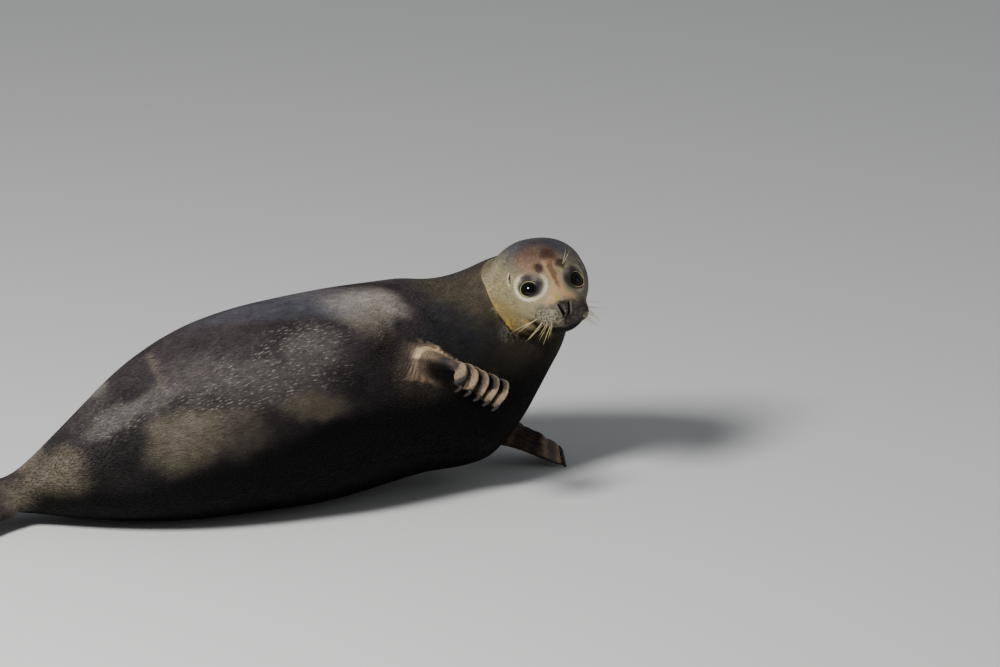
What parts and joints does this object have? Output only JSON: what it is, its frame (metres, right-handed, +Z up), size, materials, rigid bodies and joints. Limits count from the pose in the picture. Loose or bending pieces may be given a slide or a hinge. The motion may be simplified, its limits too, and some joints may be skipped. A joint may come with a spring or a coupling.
{
  "type": "harbor seal",
  "caption": "Life-size resting seal, chest and head raised, looking over its right side, one foreflipper lifted; still figure for a museum floor.",
  "frame": {"origin": "on the floor under the centre of the whole figure's bounding box", "axes": "+X along the trunk towards the chest, +Z up, the face looks towards -Y"},
  "size_m": [1.3082, 0.478, 0.4665],
  "materials": {
    "coat_head": "short flat fur, olive grey with pale eye rings and a red-brown forehead, slightly damp",
    "coat_body": "short flat damp fur, charcoal brown with taupe blotches and fine pale flecks, satin",
    "coat_flipper": "short flat fur over digits and webs, brown-grey with lighter ridges",
    "eye": "wet dark eyeball, very glossy",
    "claw": "dark horn, semi-gloss"
  },
  "bodies": {
    "root": {"head": "coat_head", "lower_jaw": "coat_head", "neck": "coat_body", "chest": "coat_body", "belly": "coat_body", "hips": "coat_body", "tail": "coat_body", "flipper_fore_right": "coat_flipper", "flipper_fore_left": "coat_flipper", "flipper_hind_right": "coat_flipper", "flipper_hind_left": "coat_flipper", "eye_right": "eye", "eye_left": "eye", "claw_fore_right_1": "claw", "claw_fore_right_2": "claw", "claw_fore_right_3": "claw", "claw_fore_right_4": "claw", "claw_fore_right_5": "claw", "claw_fore_left_1": "claw", "claw_fore_left_2": "claw", "claw_fore_left_3": "claw", "claw_fore_left_4": "claw", "claw_fore_left_5": "claw", "claw_hind_right_1": "claw", "claw_hind_right_2": "claw", "claw_hind_right_3": "claw", "claw_hind_right_4": "claw", "claw_hind_right_5": "claw", "claw_hind_left_1": "claw", "claw_hind_left_2": "claw", "claw_hind_left_3": "claw", "claw_hind_left_4": "claw", "claw_hind_left_5": "claw"}
  },
  "joints": []
}
